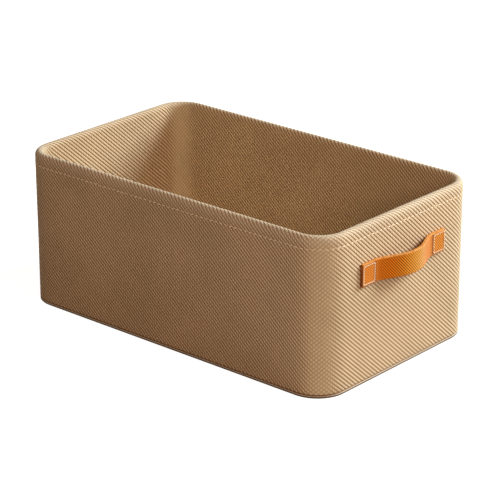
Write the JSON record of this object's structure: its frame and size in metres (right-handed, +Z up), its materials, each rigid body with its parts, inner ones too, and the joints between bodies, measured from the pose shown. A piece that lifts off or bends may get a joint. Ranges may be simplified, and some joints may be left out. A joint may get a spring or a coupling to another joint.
{
  "type": "storage basket",
  "caption": "Open rectangular storage basket of ribbed cloth with padded walls, a round rolled rim, a bowed leather strap handle on each short side and a loose base insert.",
  "frame": {"origin": "middle of the underside of the base", "axes": "+X along the length, +Y along the width, +Z up"},
  "size_m": [0.4752, 0.262, 0.18],
  "materials": {
    "ribbed_cloth": "matte",
    "lining_cloth": "matte",
    "insert_cloth": "matte",
    "piping_cloth": "matte",
    "foam": "matte",
    "cord": "matte",
    "wall_board": "matte",
    "tape": "satin",
    "insert_board": "matte",
    "wire": "satin",
    "sleeve": "satin",
    "handle_leather": "satin",
    "patch": "matte",
    "ribbon": "matte"
  },
  "bodies": {
    "basket": {"outer_cover": "ribbed_cloth", "inner_lining": "lining_cloth", "outer_padding": "foam", "inner_padding": "foam", "right_wall_board": "wall_board", "left_wall_board": "wall_board", "front_joint_tape": "tape", "back_joint_tape": "tape", "rim_padding": "foam", "rim_wire": "wire", "rim_wire_sleeve": "sleeve", "base_cloth": "lining_cloth", "base_padding": "foam", "base_lining": "lining_cloth", "base_piping": "piping_cloth", "base_piping_cord": "cord", "right_handle_patch": "patch", "left_handle_patch": "patch", "right_handle_lining_ends": "handle_leather", "right_handle_face_ends": "handle_leather", "left_handle_lining_ends": "handle_leather", "left_handle_face_ends": "handle_leather"},
    "right_handle_loop": {"right_handle_lining_loop": "handle_leather", "right_handle_face_loop": "handle_leather"},
    "left_handle_loop": {"left_handle_lining_loop": "handle_leather", "left_handle_face_loop": "handle_leather"},
    "base_insert": {"insert_top_cover": "insert_cloth", "insert_board": "insert_board", "insert_bottom_cloth": "insert_cloth", "insert_pull_tab": "ribbon"}
  },
  "joints": [
    {"name": "right_handle_flex", "type": "hinge", "parent": "basket", "child": "right_handle_loop", "pos_m": [0.2208, 0, 0.1265], "axis": [0, -1, 0], "range_deg": [-20, 25], "stiffness_Nm_per_rad": 0.07},
    {"name": "left_handle_flex", "type": "hinge", "parent": "basket", "child": "left_handle_loop", "pos_m": [-0.2208, 0, 0.1265], "axis": [0, 1, 0], "range_deg": [-20, 25], "stiffness_Nm_per_rad": 0.07},
    {"name": "insert_lift", "type": "slide", "parent": "basket", "child": "base_insert", "axis": [0, 0, 1], "range_m": [0, 0.19]}
  ]
}
